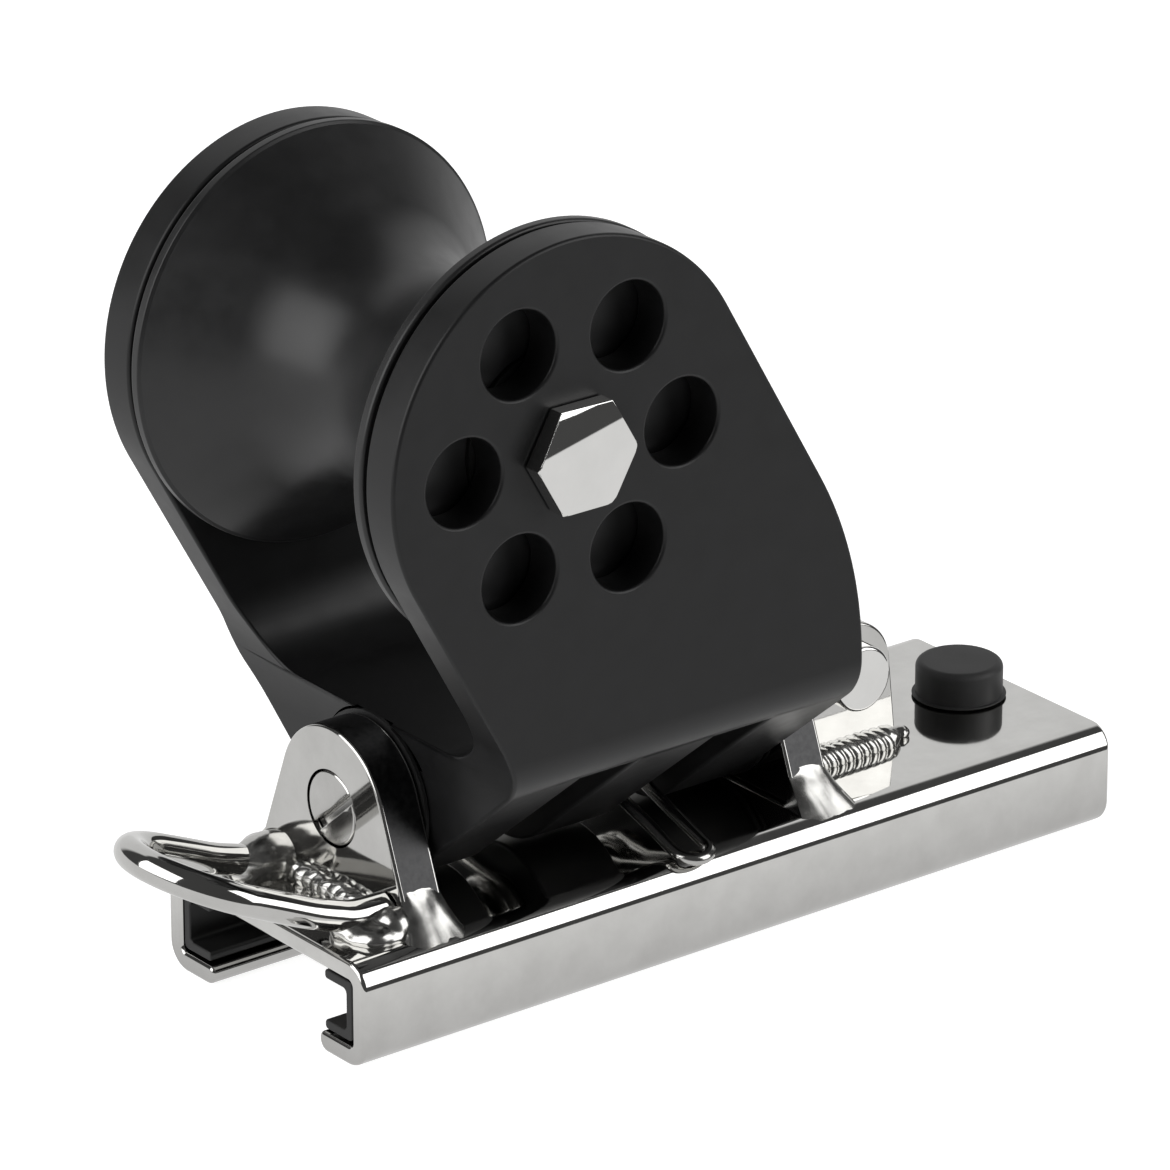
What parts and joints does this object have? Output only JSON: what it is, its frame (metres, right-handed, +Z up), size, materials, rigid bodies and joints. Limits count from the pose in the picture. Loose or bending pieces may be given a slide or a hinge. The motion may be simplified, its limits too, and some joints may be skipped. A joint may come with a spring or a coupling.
{
  "type": "genoa lead car",
  "caption": "Spring-centred stand-up roller lead block on a stainless T-track slide, with tow bail, becket and spring pin stop.",
  "frame": {"origin": "middle of the underside of the slide's top plate, the face that rides on the track", "axes": "+X along the track, away from the tow bail; +Y across the track; +Z up, away from the track"},
  "size_m": [0.1741, 0.0822, 0.1308],
  "materials": {
    "stainless": "polished",
    "spring_wire": "drawn wire",
    "black_alloy": "black anodised, satin",
    "black_acetal": "turned, satin",
    "liner": "matte",
    "knob": "matte",
    "bearing": "matte"
  },
  "bodies": {
    "slide": {"slide_channel": "stainless", "track_liner_port": "liner", "track_liner_starboard": "liner", "front_ear": "stainless", "rear_ear": "stainless", "pivot_pin": "stainless", "thrust_washer_front": "black_acetal", "thrust_washer_rear": "black_acetal", "centring_spring_front": "spring_wire", "centring_spring_rear": "spring_wire", "tow_bail": "stainless", "becket_plate_port": "stainless", "becket_plate_starboard": "stainless", "becket_pin": "stainless", "becket_pin_collar": "stainless", "plunger_barrel": "stainless", "plunger_spring": "spring_wire"},
    "block": {"cheek_frame": "black_alloy", "pivot_bush_front": "bearing", "pivot_bush_rear": "bearing", "axle_bolt": "stainless", "axle_nut": "stainless", "axle_sleeve": "stainless", "axle_washer_port": "bearing", "axle_washer_starboard": "bearing"},
    "roller": {"roller": "black_acetal", "roller_bush_port": "bearing", "roller_bush_starboard": "bearing"},
    "plunger": {"plunger_knob": "knob", "stop_pin": "stainless"}
  },
  "joints": [
    {"name": "block_tilt", "type": "hinge", "parent": "slide", "child": "block", "pos_m": [-0.0202, 0, 0.0175], "axis": [1, 0, 0], "range_deg": [-40, 40], "stiffness_Nm_per_rad": 0.9},
    {"name": "roller_spin", "type": "hinge", "parent": "block", "child": "roller", "pos_m": [-0.0435, 0, 0.0829], "axis": [0, 1, 0], "continuous": true},
    {"name": "plunger_pull", "type": "slide", "parent": "slide", "child": "plunger", "axis": [0, 0, 1], "range_m": [0, 0.0032], "stiffness_N_per_m": 600, "springref_m": -0.004, "deforming": ["plunger_spring"]}
  ]
}
